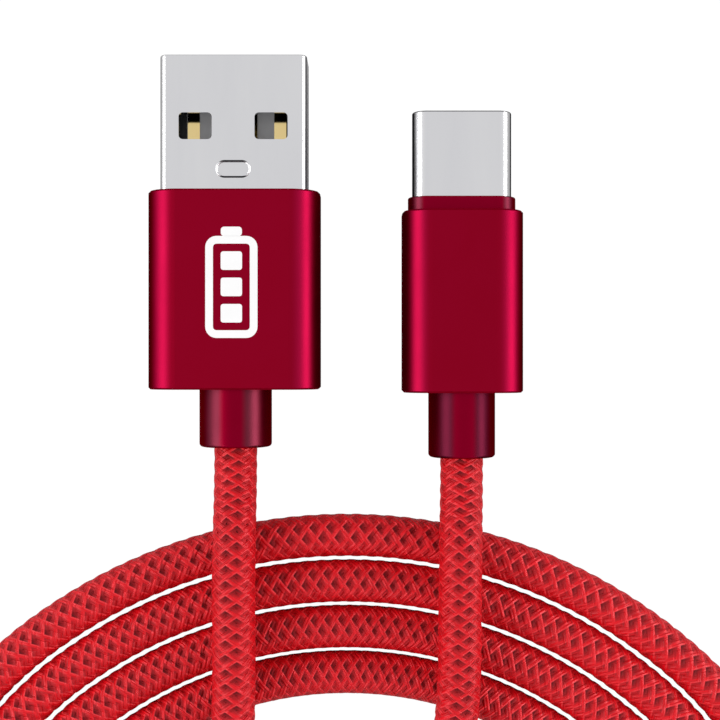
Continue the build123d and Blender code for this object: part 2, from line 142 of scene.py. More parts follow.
def addFloor():
    bpy.ops.mesh.primitive_plane_add(size=floorSet["size"], location=(0, 0, 0))
    floor = bpy.context.object
    floor.name = "floor"
    material = bpy.data.materials.new("floorPaper")
    material.use_nodes = True
    tree = material.node_tree
    tree.nodes.clear()
    output = tree.nodes.new("ShaderNodeOutputMaterial")
    paper = tree.nodes.new("ShaderNodeBsdfDiffuse")
    paper.inputs["Color"].default_value = (*floorSet["colour"], 1)
    glow = tree.nodes.new("ShaderNodeEmission")
    glow.inputs["Color"].default_value = (1, 1, 1, 1)
    glow.inputs["Strength"].default_value = floorSet["glowStrength"]
    path = tree.nodes.new("ShaderNodeLightPath")
    seen = mathNode(tree, "MAXIMUM", path.outputs["Is Camera Ray"], path.outputs["Is Transmission Ray"])
    mix = tree.nodes.new("ShaderNodeMixShader")
    tree.links.new(mathNode(tree, "MULTIPLY", seen, floorSet["glow"]), mix.inputs[0])
    tree.links.new(paper.outputs[0], mix.inputs[1])
    tree.links.new(glow.outputs[0], mix.inputs[2])
    tree.links.new(mix.outputs[0], output.inputs["Surface"])
    floor.data.materials.append(material)


bpy.ops.object.select_all(action="DESELECT")
addCamera()
for lampName, lampValues in lampSet.items():
    addLamp(lampName, *lampValues)
addWorld()
addFloor()
scene.view_settings.view_transform = "Standard"
print("camera, lamps and floor placed")


def newGroup(name, inputs, outputs):
    group = bpy.data.node_groups.new(name, "ShaderNodeTree")
    for label, kind, value in inputs:
        socket = group.interface.new_socket(name=label, in_out="INPUT", socket_type=kind)
        if value is not None:
            socket.default_value = value
    for label, kind in outputs:
        group.interface.new_socket(name=label, in_out="OUTPUT", socket_type=kind)
    start = group.nodes.new("NodeGroupInput")
    end = group.nodes.new("NodeGroupOutput")
    return group, start, end


grainSet = {
    # noise detail and roughness, how far the marks wander, and the span of noise that they show
    "fine": (3.0, 0.55), "slow": (4.0, 0.6), "wander": 0.4, "marksFrom": (0.35, 0.68),
}


def makeGrainGroup():
    # fine grain over the surface, and slow handling marks
    group, start, end = newGroup(
        "surfaceGrain",
        [("Vector", "NodeSocketVector", None), ("Grain Scale", "NodeSocketFloat", 4000.0),
         ("Mark Scale", "NodeSocketFloat", 180.0)],
        [("Grain", "NodeSocketFloat"), ("Marks", "NodeSocketFloat")],
    )
    fine, slow = group.nodes.new("ShaderNodeTexNoise"), group.nodes.new("ShaderNodeTexNoise")
    link = group.links.new
    for noise, label, scale in ((fine, "fine", "Grain Scale"), (slow, "slow", "Mark Scale")):
        noise.inputs["Detail"].default_value, noise.inputs["Roughness"].default_value = grainSet[label]
        link(start.outputs["Vector"], noise.inputs["Vector"])
        link(start.outputs[scale], noise.inputs["Scale"])
    slow.inputs["Distortion"].default_value = grainSet["wander"]
    link(fine.outputs["Fac"], end.inputs["Grain"])
    link(rangeOf(group, slow.outputs["Fac"], grainSet["marksFrom"]), end.inputs["Marks"])
    return group


def makeBendGroup():
    # how far a flat top has bent down to the sides, and the wall below the bend, up to where it is flat again: the
    # masks where highlight and shade are painted
    group, start, end = newGroup(
        "roundBend",
        [("Normal", "NodeSocketVector", None), ("Bend From", "NodeSocketFloat", 0.08),
         ("Bend To", "NodeSocketFloat", 0.38), ("Wall From", "NodeSocketFloat", 0.5),
         ("Wall To", "NodeSocketFloat", 0.85), ("Flat From", "NodeSocketFloat", 2.0),
         ("Flat To", "NodeSocketFloat", 3.0)],
        [("Bend", "NodeSocketFloat"), ("Wall", "NodeSocketFloat")],
    )
    parts = group.nodes.new("ShaderNodeSeparateXYZ")
    group.links.new(start.outputs["Normal"], parts.inputs[0])
    steep = mathNode(group, "ABSOLUTE", parts.outputs["X"])
    shares = {}
    for label in ("Bend", "Wall", "Flat"):
        change = group.nodes.new("ShaderNodeMapRange")
        change.interpolation_type = "SMOOTHSTEP"
        group.links.new(start.outputs[f"{label} From"], change.inputs["From Min"])
        group.links.new(start.outputs[f"{label} To"], change.inputs["From Max"])
        group.links.new(steep, change.inputs["Value"])
        shares[label] = change.outputs["Result"]
    group.links.new(shares["Bend"], end.inputs["Bend"])
    group.links.new(mathNode(group, "SUBTRACT", shares["Wall"], shares["Flat"], clamp=True), end.inputs["Wall"])
    return group


def makeEdgeGroup():
    # where a surface lies farther than a reach from a centre along one axis: the mask for painted shade
    group, start, end = newGroup(
        "beyondPlace",
        [("Vector", "NodeSocketVector", None), ("Axis", "NodeSocketVector", None),
         ("Centre", "NodeSocketFloat", 0.0), ("Reach", "NodeSocketFloat", 0.001),
         ("Softness", "NodeSocketFloat", 0.0001)],
        [("Beyond", "NodeSocketFloat")],
    )
    along = group.nodes.new("ShaderNodeVectorMath")
    along.operation = "DOT_PRODUCT"
    group.links.new(start.outputs["Vector"], along.inputs[0])
    group.links.new(start.outputs["Axis"], along.inputs[1])
    offset = mathNode(group, "SUBTRACT", along.outputs["Value"], start.outputs["Centre"])
    past = mathNode(group, "SUBTRACT", mathNode(group, "ABSOLUTE", offset), start.outputs["Reach"])
    group.links.new(mathNode(group, "DIVIDE", past, start.outputs["Softness"], clamp=True), end.inputs["Beyond"])
    return group


grainGroup = makeGrainGroup()
bendGroup = makeBendGroup()
edgeGroup = makeEdgeGroup()
print("shared effects ready")


# what the steels have in common, and the satin reds
steelSet = {
    "colour": (0.93, 0.93, 0.94), "marks": (0.88, 0.88, 0.90), "metallic": 1.0, "grain": 5000, "bump": 0.0000003,
    "markScale": 220,
}
# the reds' wall colour is painted shade at the sides
redSet = {
    "colour": (0.285, 0.0006, 0.020), "marks": (0.265, 0.0005, 0.018), "metallic": 1.0, "roughness": (0.34, 0.40),
    "grain": 4500, "stretch": (1, 1, 1), "bump": 0.000003, "markScale": 260,
    "wall": (0.14, 0.0006, 0.010), "bendFrom": (0.2, 0.42), "wallFrom": (0.62, 0.85),
}
materialSet = {
    # colour, second colour for slow marks, metallic, roughness low and high, grain scale, stretch of the grain
    # along each axis, bump in metres, mark scale; some have a colour for the bend, which paints the highlight's tone
    # there, and a darker colour for the wall beside a flat top, which paints shade there, with the slopes between which
    # each comes in (and goes where the wall is flat), a painted shade colour beyond a place along one axis, and a tint
    # of the shine
    # painted highlight on the bends, and thin lines of painted dark reflection where they meet the flat side walls
    "brightSteel": {
        **steelSet, "roughness": (0.13, 0.2), "stretch": (1, 0.12, 1),
        "bend": (0.95, 0.95, 0.96), "wall": (0.25, 0.25, 0.26), "bendFrom": (0.1, 0.3), "wallFrom": (0.80, 0.88),
        "flatFrom": (0.990, 0.999), "shine": (0.8, 0.8, 0.81),
    },
    # painted highlight on the bends, and painted dark reflection down the sides
    "roundSteel": {
        **steelSet, "roughness": (0.13, 0.2), "stretch": (1, 0.12, 1),
        "bend": (0.95, 0.95, 0.96), "wall": (0.06, 0.06, 0.063), "bendFrom": (0.1, 0.3), "wallFrom": (0.84, 0.89),
        "shine": (0.25, 0.25, 0.26),
        # painted shade: the shell painted dark where it lies more than 12.04 mm from the middle along Y
        "paintedShadeBeyond": {"axis": (0, 1, 0), "centre": 0.0, "reach": 0.01204, "softness": 0.00004,
                   "colour": (0.10, 0.10, 0.105)},
    },
    "rimSteel": {
        **steelSet, "roughness": (0.15, 0.25), "stretch": (1, 1, 1),
        # painted shade: the dimple rim's front and back sides painted dark
        "paintedShadeBeyond": {"axis": (0, 1, 0), "centre": 0.00714, "reach": 0.00052, "softness": 0.00008,
                   "colour": (0.05, 0.05, 0.055)},
    },
    "coverSteel": {
        "colour": (0.62, 0.62, 0.63), "marks": (0.55, 0.55, 0.56), "metallic": 1.0, "roughness": (0.3, 0.42),
        "grain": 3000, "stretch": (1, 1, 1), "bump": 0.000003, "markScale": 260,
    },
    "goldStrip": {
        "colour": (1.0, 0.80, 0.38), "marks": (1.0, 0.76, 0.34), "metallic": 1.0, "roughness": (0.08, 0.14),
        "grain": 6000, "stretch": (1, 0.1, 1), "bump": 0.000001, "markScale": 500,
        # painted shade: the strips' front ends, beyond 11.27 mm from the middle, painted near black
        "paintedShadeBeyond": {"axis": (0, 1, 0), "centre": 0.0, "reach": 0.01127, "softness": 0.00015,
                   "colour": (0.03, 0.02, 0.006)},
    },
    "tinSolder": {
        "colour": (0.70, 0.70, 0.69), "marks": (0.58, 0.58, 0.58), "metallic": 1.0, "roughness": (0.25, 0.5),
        "grain": 3500, "stretch": (1, 1, 1), "bump": 0.00001, "markScale": 900,
    },
    "paleMoulding": {
        "colour": (0.55, 0.55, 0.56), "marks": (0.48, 0.48, 0.49), "metallic": 0.0, "roughness": (0.4, 0.55),
        "grain": 5000, "stretch": (1, 1, 1), "bump": 0.000004, "markScale": 400,
        # painted shade: the tongue painted near black beyond 4 mm from its middle, where the windows look into shade
        "paintedShadeBeyond": {"axis": (1, 0, 0), "centre": -0.00836, "reach": 0.00400, "softness": 0.00008,
                   "colour": (0.004, 0.004, 0.004)},
    },
    "blackMoulding": {
        "colour": (0.02, 0.02, 0.022), "marks": (0.035, 0.035, 0.037), "metallic": 0.0, "roughness": (0.38, 0.5),
        "grain": 5000, "stretch": (1, 1, 1), "bump": 0.000004, "markScale": 400,
    },
    "naturalMoulding": {
        "colour": (0.62, 0.58, 0.5), "marks": (0.55, 0.52, 0.45), "metallic": 0.0, "roughness": (0.45, 0.6),
        "grain": 2500, "stretch": (1, 1, 1), "bump": 0.000006, "markScale": 300,
    },
    "greenBoard": {
        "colour": (0.015, 0.12, 0.04), "marks": (0.02, 0.16, 0.055), "metallic": 0.0, "roughness": (0.3, 0.42),
        "grain": 3000, "stretch": (1, 1, 1), "bump": 0.000004, "markScale": 600,
    },
    # painted pink highlight on the bends, and painted dark reflection on the side walls
    "anodisedRed": {
        "colour": (0.325, 0.0020, 0.021), "marks": (0.305, 0.0017, 0.018), "metallic": 1.0, "roughness": (0.40, 0.46),
        "grain": 7000, "stretch": (1, 1, 1), "bump": 0.0000022, "markScale": 150,
        "bend": (0.35, 0.004, 0.038), "wall": (0.17, 0.0008, 0.009), "bendFrom": (0.06, 0.38), "wallFrom": (0.6, 0.9),
        "shine": (0.30, 0.06, 0.10),
    },
    # painted greyish-pink tone of the highlight on the bends
    "satinRed": {**redSet, "bend": (0.145, 0.018, 0.035), "shine": (1.0, 0.2, 0.3)},
    # the bends painted dark, as painted shade that dims the highlight there
    "quietRed": {**redSet, "bend": (0.085, 0.007, 0.020), "shine": (0.8, 0.10, 0.2)},
    "darkJacket": {
        "colour": (0.42, 0.003, 0.008), "marks": (0.34, 0.0022, 0.006), "metallic": 0.0, "roughness": (0.6, 0.75),
        "grain": 2500, "stretch": (1, 1, 1), "bump": 0.00001, "markScale": 500,
    },
    "whitePrint": {
        "colour": (0.90, 0.90, 0.90), "marks": (0.86, 0.86, 0.86), "metallic": 0.0, "roughness": (0.5, 0.6),
        "grain": 4000, "stretch": (1, 1, 1), "bump": 0.000002, "markScale": 300,
    },
}
wireSet = {
    "red": (0.55, 0.01, 0.01), "white": (0.75, 0.75, 0.73), "green": (0.02, 0.28, 0.06),
    "black": (0.015, 0.015, 0.015),
}
wireMarks = 0.85
for wireName, wireColour in wireSet.items():
    materialSet[f"{wireName}Wire"] = {
        "colour": wireColour, "marks": tuple(wireMarks * part for part in wireColour), "metallic": 0.0,
        "roughness": (0.35, 0.5), "grain": 3000, "stretch": (1, 1, 1), "bump": 0.000003, "markScale": 500,
    }


def principled(name, metallic):
    material = bpy.data.materials.new(name)
    material.use_nodes = True
    shader = material.node_tree.nodes["Principled BSDF"]
    shader.inputs["Metallic"].default_value = metallic
    return material, material.node_tree, shader


def bumped(tree, shader, height, distance):
    bump = tree.nodes.new("ShaderNodeBump")
    bump.inputs["Distance"].default_value = distance
    tree.links.new(height, bump.inputs["Height"])
    tree.links.new(bump.outputs["Normal"], shader.inputs["Normal"])


def grainyMaterial(name, look):
    material, tree, shader = principled(name, look["metallic"])
    shader.inputs["Specular Tint"].default_value = (*look.get("shine", (1, 1, 1)), 1)
    link = tree.links.new
    place = tree.nodes.new("ShaderNodeTexCoord")
    stretch = tree.nodes.new("ShaderNodeMapping")
    stretch.inputs["Scale"].default_value = look["stretch"]
    grain = groupNode(tree, grainGroup, {"Grain Scale": look["grain"], "Mark Scale": look["markScale"]})
    link(place.outputs["Object"], stretch.inputs["Vector"])
    link(stretch.outputs["Vector"], grain.inputs["Vector"])
    colour = mixOf(tree, grain.outputs["Marks"], look["colour"], look["marks"])
    if "bend" in look:
        slopes = {}
        for label in ("Bend", "Wall", "Flat"):
            if f"{label.lower()}From" in look:
                slopes[f"{label} From"], slopes[f"{label} To"] = look[f"{label.lower()}From"]
        around = groupNode(tree, bendGroup, slopes)
        link(place.outputs["Normal"], around.inputs["Normal"])
        # painted highlight at the bend, then painted shade on the wall
        colour = mixOf(tree, around.outputs["Bend"], colour, look["bend"])
        colour = mixOf(tree, around.outputs["Wall"], colour, look["wall"])
    # painted shade beyond a place along one axis
    if "paintedShadeBeyond" in look:
        limit = look["paintedShadeBeyond"]
        past = groupNode(tree, edgeGroup, {label.title(): limit[label] for label in limit if label != "colour"})
        link(place.outputs["Object"], past.inputs["Vector"])
        colour = mixOf(tree, past.outputs["Beyond"], colour, limit["colour"])
    link(colour, shader.inputs["Base Color"])
    link(rangeOf(tree, grain.outputs["Marks"], onto=look["roughness"]), shader.inputs["Roughness"])
    bumped(tree, shader, grain.outputs["Grain"], look["bump"])
    return material


materials = {name: grainyMaterial(name, look) for name, look in materialSet.items()}

nodeFinish = {
    "a_shell": "brightSteel", "c_shell": "roundSteel", "c_latch": "brightSteel", "c_ground_springs": "brightSteel",
    "a_shield_cover": "coverSteel", "c_shield_cover": "coverSteel",
    "a_contact_vbus": "goldStrip", "a_contact_data_minus": "goldStrip", "a_contact_data_plus": "goldStrip",
    "a_contact_ground": "goldStrip", "c_contacts_upper": "goldStrip", "c_contacts_lower": "goldStrip",
    "a_solder_joints": "tinSolder", "c_solder_joints": "tinSolder",
    "a_insulator": "paleMoulding", "c_insulator": "blackMoulding", "c_resistor": "blackMoulding",
    "a_inner_mould": "naturalMoulding", "c_inner_mould": "satinRed", "a_front_frame": "blackMoulding",
    "c_board": "greenBoard",
    "a_sleeve": "anodisedRed", "c_sleeve": "anodisedRed", "a_collar": "satinRed", "c_collar": "quietRed",
    "a_cable_end": "satinRed", "c_cable_end": "satinRed",
}
for plug in ("a", "c"):
    for wireName in wireSet:
        nodeFinish[f"{plug}_wire_{wireName}"] = f"{wireName}Wire"

for nodeName, finish in nodeFinish.items():
    nodes[nodeName].data.materials.clear()
    nodes[nodeName].data.materials.append(materials[finish])
print("finishes on", len(nodeFinish), "CAD nodes")


dimpleSet = {
    # millimetres; the corners' reach is a share of the length
    "size": (2.7, 1.3), "fromTip": 9.34, "wire": 0.085, "sink": 0.03, "cornerShare": 0.495, "cornerSteps": 10,
    "wireSteps": 3,
}
batterySet = {
    # millimetres; the cap's corners reach over a share of its length
    "size": (4.2, 8.2), "corner": 0.9, "cornerSteps": 6, "line": 0.62, "cap": (1.7, 0.75), "capOverlap": 0.01,
    "capCorner": 0.35, "capSteps": 4, "bars": 3, "barGap": 0.62, "barCorner": 0.2, "barSteps": 3,
    "forward": -2.55, "height": 0.02,
}


def topOf(node):
    low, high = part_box(node)
    return (low.x + high.x) / 2, high.y, high.z


def startPlane(name, x, y, z, width, length):
    bpy.ops.object.select_all(action="DESELECT")
    bpy.ops.mesh.primitive_plane_add(size=1, location=mm(x, y, z))
    piece = bpy.context.object
    piece.name = name
    piece.scale = (*mm(width, length), 1)
    bpy.ops.object.transform_apply(location=True, rotation=True, scale=True)
    return piece


def roundCorners(reach, segments):
    # on the plane made last
    bpy.ops.object.mode_set(mode="EDIT")
    bpy.ops.mesh.select_all(action="SELECT")
    bpy.ops.mesh.bevel(affect="VERTICES", offset=reach * millimetre, segments=segments)
    bpy.ops.object.mode_set(mode="OBJECT")


def finishPiece(piece, finish):
    piece.data.materials.clear()
    piece.data.materials.append(materials[finish])
    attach(piece, "root")


def dimpleRim():
    # the rounded edge that the press leaves round the latch dimple
    x, tip, top = (value / millimetre for value in topOf("a_shell"))
    width, length = dimpleSet["size"]
    y = tip - dimpleSet["fromTip"]
    rim = startPlane("dimpleRim", x, y, top - dimpleSet["sink"], width, length)
    roundCorners(length * dimpleSet["cornerShare"], dimpleSet["cornerSteps"])
    bpy.ops.object.mode_set(mode="EDIT")
    bpy.ops.mesh.select_all(action="SELECT")
    bpy.ops.mesh.delete(type="ONLY_FACE")
    bpy.ops.object.mode_set(mode="OBJECT")
    bpy.ops.object.convert(target="CURVE")
    rim = bpy.context.object
    rim.data.bevel_depth = dimpleSet["wire"] * millimetre
    rim.data.bevel_resolution = dimpleSet["wireSteps"]
    bpy.ops.object.convert(target="MESH")
    rim = bpy.context.object
    bpy.ops.object.shade_smooth()
    finishPiece(rim, "rimSteel")


def batteryMark():
    # a plain battery sign, printed on the sleeve's flat top
    x, _, top = (value / millimetre for value in topOf("a_sleeve"))
    width, length = batterySet["size"]
    y, line = batterySet["forward"], batterySet["line"]
    case = startPlane("batteryCase", x, y, top, width, length)
    roundCorners(batterySet["corner"], batterySet["cornerSteps"])
    bpy.ops.object.mode_set(mode="EDIT")
    bpy.ops.mesh.select_all(action="SELECT")
    bpy.ops.mesh.inset(thickness=line * millimetre)
    bpy.ops.mesh.delete(type="FACE")
    bpy.ops.object.mode_set(mode="OBJECT")
    capWidth, capLength = batterySet["cap"]
    capY = y + (length + capLength) / 2 - batterySet["capOverlap"]
    parts = [case, startPlane("batteryCap", x, capY, top, capWidth, capLength)]
    roundCorners(capLength * batterySet["capCorner"], batterySet["capSteps"])
    gap, bars = batterySet["barGap"], batterySet["bars"]
    room = length - 2 * line - gap
    pitch = room / bars
    for number in range(bars):
        at = y - room / 2 + pitch * (number + 0.5)
        parts.append(startPlane(f"batteryBar_{number}", x, at, top, width - 2 * line - 2 * gap, pitch - gap))
        roundCorners(batterySet["barCorner"], batterySet["barSteps"])
    bpy.ops.object.select_all(action="DESELECT")
    for part in parts:
        part.select_set(True)
    bpy.context.view_layer.objects.active = case
    bpy.ops.object.join()
    case.name = "batteryMark"
    bpy.ops.object.mode_set(mode="EDIT")
    bpy.ops.mesh.select_all(action="SELECT")
    bpy.ops.mesh.extrude_region_move(TRANSFORM_OT_translate={"value": (0, 0, batterySet["height"] * millimetre)})
    bpy.ops.mesh.select_all(action="SELECT")
    bpy.ops.mesh.normals_make_consistent(inside=False)
    bpy.ops.object.mode_set(mode="OBJECT")
    finishPiece(case, "whitePrint")


dimpleRim()
batteryMark()
print("dimple rim and battery mark made")


cordSet = {
    # millimetres and degrees: heights are those of the cord's own line, and the angles say how far a turn's
    # wide front arc reaches to each side before the tighter corners
    "diameter": 3.5,
    "coreRadius": 1.52,
    "lineHeight": 1.75,
    "crossingHeight": 5.42,
    "lastRun": 5.6,
    "landingRun": 7.9,
    "turns": 4,
    "pitch": 3.86,
    "frontCentre": (0.84, -66.39),
    "frontRadius": 43.17,
    "leftAngle": 41.5,
    "rightAngle": 45.5,
    "cornerRadius": 22.5,
    "bottom": -84.3,
    "pointStep": 10.0,
    # the rear's bends: share of its length, and of its step inwards
    "stepShares": ((0.13, 0.0), (0.37, 0.24), (0.63, 0.76), (0.87, 1.0)),
    "splineSteps": 8,
    "lineSteps": 24,
    "roundSteps": 3,
}
lying, crossing = cordSet["lineHeight"], cordSet["crossingHeight"]
tailA = [
    (-8.3625, -15.59, 3.6),
    (-8.3625, -18.7, 3.6),
    (-8.33, -24.6, 5.84),
    (-8.32, -38.6, crossing),
    (-9.2, -47.6, lying),
    (-9.7, -57.2, lying),
    (-9.6, -66.2, crossing),
    (-11.2, -74.0, crossing),
    (-18.4, -79.9, crossing),
    (-27.9, -79.2, crossing),
    (-34.6, -72.4, crossing),
]
tailC = [
    (10.4375, -16.48, 3.4),
    (10.4375, -19.2, 3.4),
    (10.12, -25.2, 6.1),
    (10.1, -38.6, crossing),
    (8.0, -47.6, lying),
]


def arcPoints(centre, radius, start, end):
    # the corners of the polygon round an arc, from one heading to the other, clockwise
    count = max(2, round(abs(end - start) / cordSet["pointStep"]))
    step = (end - start) / count
    reach = radius / math.cos(math.radians(step / 2))
    angles = [math.radians(start + (i + 0.5) * step) for i in range(count)]
    return [
        (centre[0] + reach * math.cos(a), centre[1] + reach * math.sin(a), cordSet["lineHeight"]) for a in angles
    ]


def stepPoints(start, end, rows):
    # the rear of a turn, which moves inwards by one pitch on two slight bends
    length = start - end
    return [(start - length * share, rows[0] + (rows[1] - rows[0]) * rise, cordSet["lineHeight"])
            for share, rise in cordSet["stepShares"]]


def coilPoints():
    # the coil from the outside in, clockwise: left, front, right and rear on each turn
    inset = cordSet["frontRadius"] - cordSet["cornerRadius"]
    left, right = math.radians(cordSet["leftAngle"]), math.radians(cordSet["rightAngle"])
    frontX, frontY = cordSet["frontCentre"]
    leftCentre = (frontX - inset * math.sin(left), frontY + inset * math.cos(left))
    rightCentre = (frontX + inset * math.sin(right), frontY + inset * math.cos(right))
    rearY = cordSet["bottom"] + cordSet["cornerRadius"]
    leftEnd, rightEnd = 90 + cordSet["leftAngle"], 90 - cordSet["rightAngle"]
    points = []
    for turn in range(cordSet["turns"]):
        radius = cordSet["cornerRadius"] - turn * cordSet["pitch"]
        points += arcPoints(leftCentre, radius, 180, leftEnd)
        points += arcPoints(cordSet["frontCentre"], cordSet["frontRadius"] - turn * cordSet["pitch"], leftEnd, rightEnd)
        points += arcPoints(rightCentre, radius, rightEnd, 0)
        points += arcPoints((rightCentre[0], rearY), radius, 0, -90)
        if turn == cordSet["turns"] - 1:
            points += arcPoints((rightCentre[0], rearY), radius, -90, -180)
            continue
        rows = (rearY - radius, rearY - radius + cordSet["pitch"])
        points += stepPoints(rightCentre[0], leftCentre[0], rows)
        points += arcPoints((leftCentre[0], rearY), radius - cordSet["pitch"], -90, -180)
    outerStart = (leftCentre[0] - cordSet["cornerRadius"], leftCentre[1], cordSet["lineHeight"])
    innerEnd = (rightCentre[0] - radius, rearY, cordSet["lineHeight"])
    return outerStart, points, innerEnd


def cordRoute():
    outerStart, turns, innerEnd = coilPoints()
    x, y, z = outerStart
    beside = y - cordSet["lastRun"]
    route = tailA + [(x, beside - cordSet["landingRun"], cordSet["crossingHeight"]), (x, beside, z), outerStart]
    route += turns
    x, y, z = innerEnd
    route += [innerEnd, (x, y + cordSet["lastRun"], z)] + tailC[::-1]
    return route


def curveFrom(name, points, bevel):
    data = bpy.data.curves.new(name, "CURVE")
    data.dimensions = "3D"
    data.resolution_u = cordSet["splineSteps"]
    spline = data.splines.new("NURBS")
    spline.points.add(len(points) - 1)
    for point, place in zip(spline.points, points):
        point.co = (*mm(*place), 1)
    spline.order_u = 3
    spline.use_endpoint_u = True
    data.bevel_depth = bevel * millimetre
    data.bevel_resolution = cordSet["roundSteps"]
    data.use_fill_caps = True
    piece = bpy.data.objects.new(name, data)
    scene.collection.objects.link(piece)
    return piece


def routeLine(piece):
    # the line that the curve runs along, without its thickness
    bevel, piece.data.bevel_depth = piece.data.bevel_depth, 0
    caps, piece.data.use_fill_caps = piece.data.use_fill_caps, False
    steps, piece.data.resolution_u = piece.data.resolution_u, cordSet["lineSteps"]
    bpy.context.view_layer.update()
    mesh = bpy.data.meshes.new_from_object(piece.evaluated_get(bpy.context.evaluated_depsgraph_get()))
    line = np.empty(len(mesh.vertices) * 3)
    mesh.vertices.foreach_get("co", line)
    bpy.data.meshes.remove(mesh)
    piece.data.bevel_depth, piece.data.use_fill_caps, piece.data.resolution_u = bevel, caps, steps
    return line.reshape(-1, 3)


braidSet = {
    # lengths in millimetres
    "carriers": 12,
    # where the first strand of each way starts, as a share of the strands' spacing
    "firstStrand": 0.25,
    # how far a strand goes in one turn round the cord, along the cord
    "layAt": (0, 109, 135, 185, 340, 400, 525, 585, 690, 745, 800, 842),
    "layBy": (6.9, 6.9, 8.16, 8.16, 7.32, 7.32, 6.72, 6.72, 6.0, 6.0, 6.9, 6.9),
    "middle": 1.69,
    "swing": 0.03,
    "halfThickness": 0.07,
    # a strand's width as a share of its room: under the others, and at the top of its own arch
    "fill": (1.06, 1.02),
    "squareness": 1.5,
    "ringSpacing": 0.15,
    "tuck": 0.6,
    "pieces": 6,
    # how far the ridge between two columns lies from the top, in degrees, along the cord
    "turnAt": (0, 40, 115, 760, 805, 900),
    "turnBy": (2, 2, -15.5, -15.5, 6, 6),
    # the pits between the strands: half width as a share of the strands' spacing, soft edge and depth
    "pitReach": 0.40,
    "pitEdge": 0.24,
    "pitDepth": 0.09,
    # beside the ridge the pits are deepest and their painted shade strongest, elsewhere they close up: degrees from the
    # ridge
    "openAt": (26, 36),
    "openBy": (1.0, 0.4),
    # the end where the pits' painted shade is darkest, along the cord (1) or back (-1)
    "facingAt": (0, 795, 795.2, 900),
    "facingBy": (-1, -1, 1, 1),
    # across a strand: place across its width, height, and place round its outline
    "outline": ((-0.5, 0.0, 0.0), (-0.40, 0.8, 0.12), (-0.22, 0.96, 0.25), (0.0, 1.0, 0.40), (0.22, 0.96, 0.55),
                (0.40, 0.8, 0.68), (0.5, 0.0, 0.80), (0.0, -0.8, 0.90)),
    # how far two strands' own maps lie apart, and the baking map's rows and the margins in them, along and across
    "mapStep": 37,
    "bakeRows": 18,
    "bakeMargin": (0.002, 0.03),
}
braidLook = {
    # the gap colour is painted shade where a strand lies low, fading out over the span of lift given by rise
    "light": (0.81, 0.006, 0.013), "deep": (0.54, 0.003, 0.007), "gap": (0.13, 0.0006, 0.003), "rise": (-0.3, 0.4),
    # the pit colour is painted shade in the pits, and the rim colour a painted highlight beside them
    "pitShade": (0.03, 0.0002, 0.0006), "rim": (1.0, 0.06, 0.07), "rimHighlightShare": 0.7, "pitRoughness": 0.6,
    "roughness": (0.24, 0.36), "specular": 1.0, "filaments": 4.0, "bump": 0.00004, "shine": (1.0, 0.24, 0.27),
    # streaks along a strand: stretch of their noise, its detail, the span that shows, and how far threads drift
    "stretch": (0.9, 9.0, 1.0), "detail": 2.0, "streaksFrom": (0.32, 0.68), "drift": 1.6,
    # a pit's painted shade: how it falls from end to end, and at its middle; then the painted highlight rim's gain
    # towards its end
    "pitShadeFall": 0.62, "pitShadeMiddle": 0.58, "rimHighlightGain": 2.5, "pitSoftness": 0.08, "rimHighlightReach": 0.10,
}


def alongLine(line, spacing, tuck):
    # evenly spaced places, each with its heading, upward and right-hand directions
    length = np.concatenate([[0], np.cumsum(np.linalg.norm(np.diff(line, axis=0), axis=1))])
    at = np.linspace(-tuck, length[-1] + tuck, round((length[-1] + 2 * tuck) / spacing))
    place = np.stack([np.interp(at, length, line[:, i]) for i in range(3)], axis=1)
    first, last = line[1] - line[0], line[-1] - line[-2]
    place[at < 0] += np.outer(at[at < 0], first / np.linalg.norm(first))
    over = at > length[-1]
    place[over] += np.outer(at[over] - length[-1], last / np.linalg.norm(last))
    heading = np.gradient(place, axis=0)
    heading /= np.linalg.norm(heading, axis=1)[:, None]
    up = np.array([0, 0, 1.0]) - heading[:, 2:3] * heading
    up /= np.linalg.norm(up, axis=1)[:, None]
    return at, place, heading, up, np.cross(heading, up)


def weaveAt(around, turn, facing):
    # each point's place among the strands of both ways, as counts, and its pits' strength and the end where their
    # painted shade is darker
    spacing = 4 * math.pi / braidSet["carriers"]
    fromRidge = np.degrees(np.arccos(np.cos(around)))
    ends = facing * np.interp(fromRidge, braidSet["openAt"], braidSet["openBy"])
    counts = [(around - way * turn) / spacing - braidSet["firstStrand"] for way in (1, -1)]
    return np.stack(counts + [ends], axis=2)


def pitsAt(weave):
    # how deep each point lies in a pit between four strands, 0 to 1
    offsets = np.abs(weave[..., :2] - np.floor(weave[..., :2]) - 0.5)
    inside = np.clip((braidSet["pitReach"] - offsets.max(axis=2)) / braidSet["pitEdge"], 0, 1)
    return inside * np.abs(weave[..., 2])


